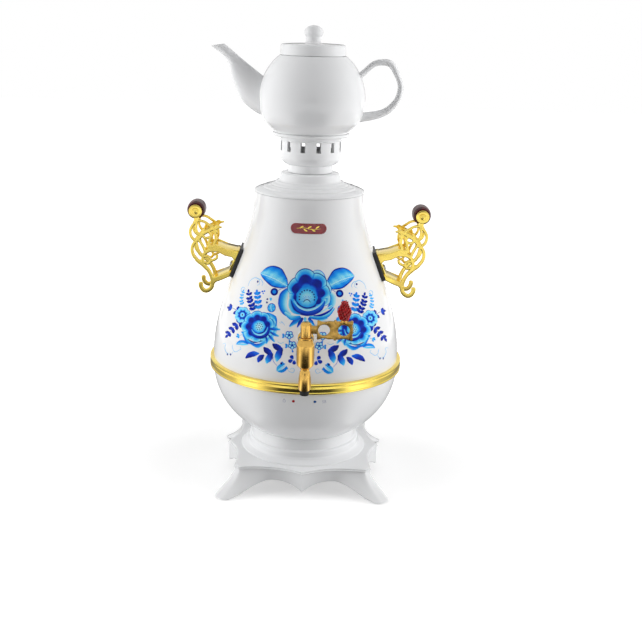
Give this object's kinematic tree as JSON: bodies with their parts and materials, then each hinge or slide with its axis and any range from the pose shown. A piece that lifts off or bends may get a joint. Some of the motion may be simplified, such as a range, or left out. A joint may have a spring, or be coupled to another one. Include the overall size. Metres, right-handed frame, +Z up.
{
  "type": "electric samovar with teapot",
  "caption": "Electric samovar with a painted round shell, gold belt and scroll handles, a plug tap with an ornate key, and a white teapot on its slotted crown.",
  "frame": {"origin": "on the table, on the vessel's axis", "axes": "+Z up along the vessel axis, -Y towards the tap at the front, +X to the right seen from the front"},
  "size_m": [0.2592, 0.2625, 0.4874],
  "materials": {
    "porcelain": "glossy white glaze",
    "white_moulding": "glossy white",
    "gilt": "polished gold plating",
    "tap_brass": "polished",
    "stainless": "satin",
    "aluminium": "as cast",
    "steel_screws": "zinc plated",
    "black_plastic": "matte",
    "black_rubber": "matte",
    "silicone": "matte",
    "dark_wood": "lacquered",
    "red_plastic": "glossy",
    "plaque_enamel": "glossy deep red",
    "board": "matte",
    "lamp_red": "clear tinted",
    "lamp_blue": "clear tinted",
    "wire_cover": "matte"
  },
  "bodies": {
    "vessel": {"base_pedestal": "white_moulding", "rubber_pads": "black_rubber", "bottom_cover": "black_plastic", "cover_screws": "steel_screws", "column": "white_moulding", "bowl_shell": "white_moulding", "belt": "gilt", "body_shell": "porcelain", "plaque": "plaque_enamel", "water_tank": "stainless", "heater": "aluminium", "thermostat": "black_plastic", "thermal_fuse": "steel_screws", "tie_rods": "steel_screws", "tie_nuts": "steel_screws", "lamp_board": "board", "red_lamp": "lamp_red", "blue_lamp": "lamp_blue", "power_inlet": "black_plastic", "inlet_pins": "steel_screws", "switch_housing": "black_plastic", "wiring": "wire_cover", "tap_body": "tap_brass", "tap_seals": "silicone", "tap_nut": "tap_brass", "tap_gland": "tap_brass", "nozzle_tip": "black_rubber", "left_pad": "black_plastic", "left_bracket": "gilt", "left_front_scroll": "gilt", "left_rear_scroll": "gilt", "left_grip": "dark_wood", "left_washers": "gilt", "left_grip_bolt": "gilt", "left_screws": "steel_screws", "right_pad": "black_plastic", "right_bracket": "gilt", "right_front_scroll": "gilt", "right_rear_scroll": "gilt", "right_grip": "dark_wood", "right_washers": "gilt", "right_grip_bolt": "gilt", "right_screws": "steel_screws"},
    "rocker": {"switch_rocker": "red_plastic"},
    "tap_key": {"tap_key": "tap_brass", "plug_seals": "black_rubber", "key_plate": "tap_brass", "key_bead": "red_plastic"},
    "cap": {"cap": "porcelain", "cap_seal": "silicone"},
    "crown": {"crown": "porcelain"},
    "teapot": {"teapot": "porcelain"},
    "teapot_lid": {"teapot_lid": "porcelain"}
  },
  "joints": [
    {"name": "tap_turn", "type": "hinge", "parent": "vessel", "child": "tap_key", "pos_m": [0, -0.147, 0.185], "axis": [0, 0, 1], "range_deg": [-90, 0]},
    {"name": "switch_rock", "type": "hinge", "parent": "vessel", "child": "rocker", "pos_m": [-0.0161, 0.1, 0.103], "axis": [0, 0, 1], "range_deg": [-16, 0]},
    {"name": "cap_lift", "type": "slide", "parent": "vessel", "child": "cap", "axis": [0, 0, 1], "range_m": [0, 0.12]},
    {"name": "crown_lift", "type": "slide", "parent": "cap", "child": "crown", "axis": [0, 0, 1], "range_m": [0, 0.08]},
    {"name": "teapot_lift", "type": "slide", "parent": "crown", "child": "teapot", "axis": [0, 0, 1], "range_m": [0, 0.15]},
    {"name": "lid_lift", "type": "slide", "parent": "teapot", "child": "teapot_lid", "axis": [0, 0, 1], "range_m": [0, 0.08]}
  ]
}
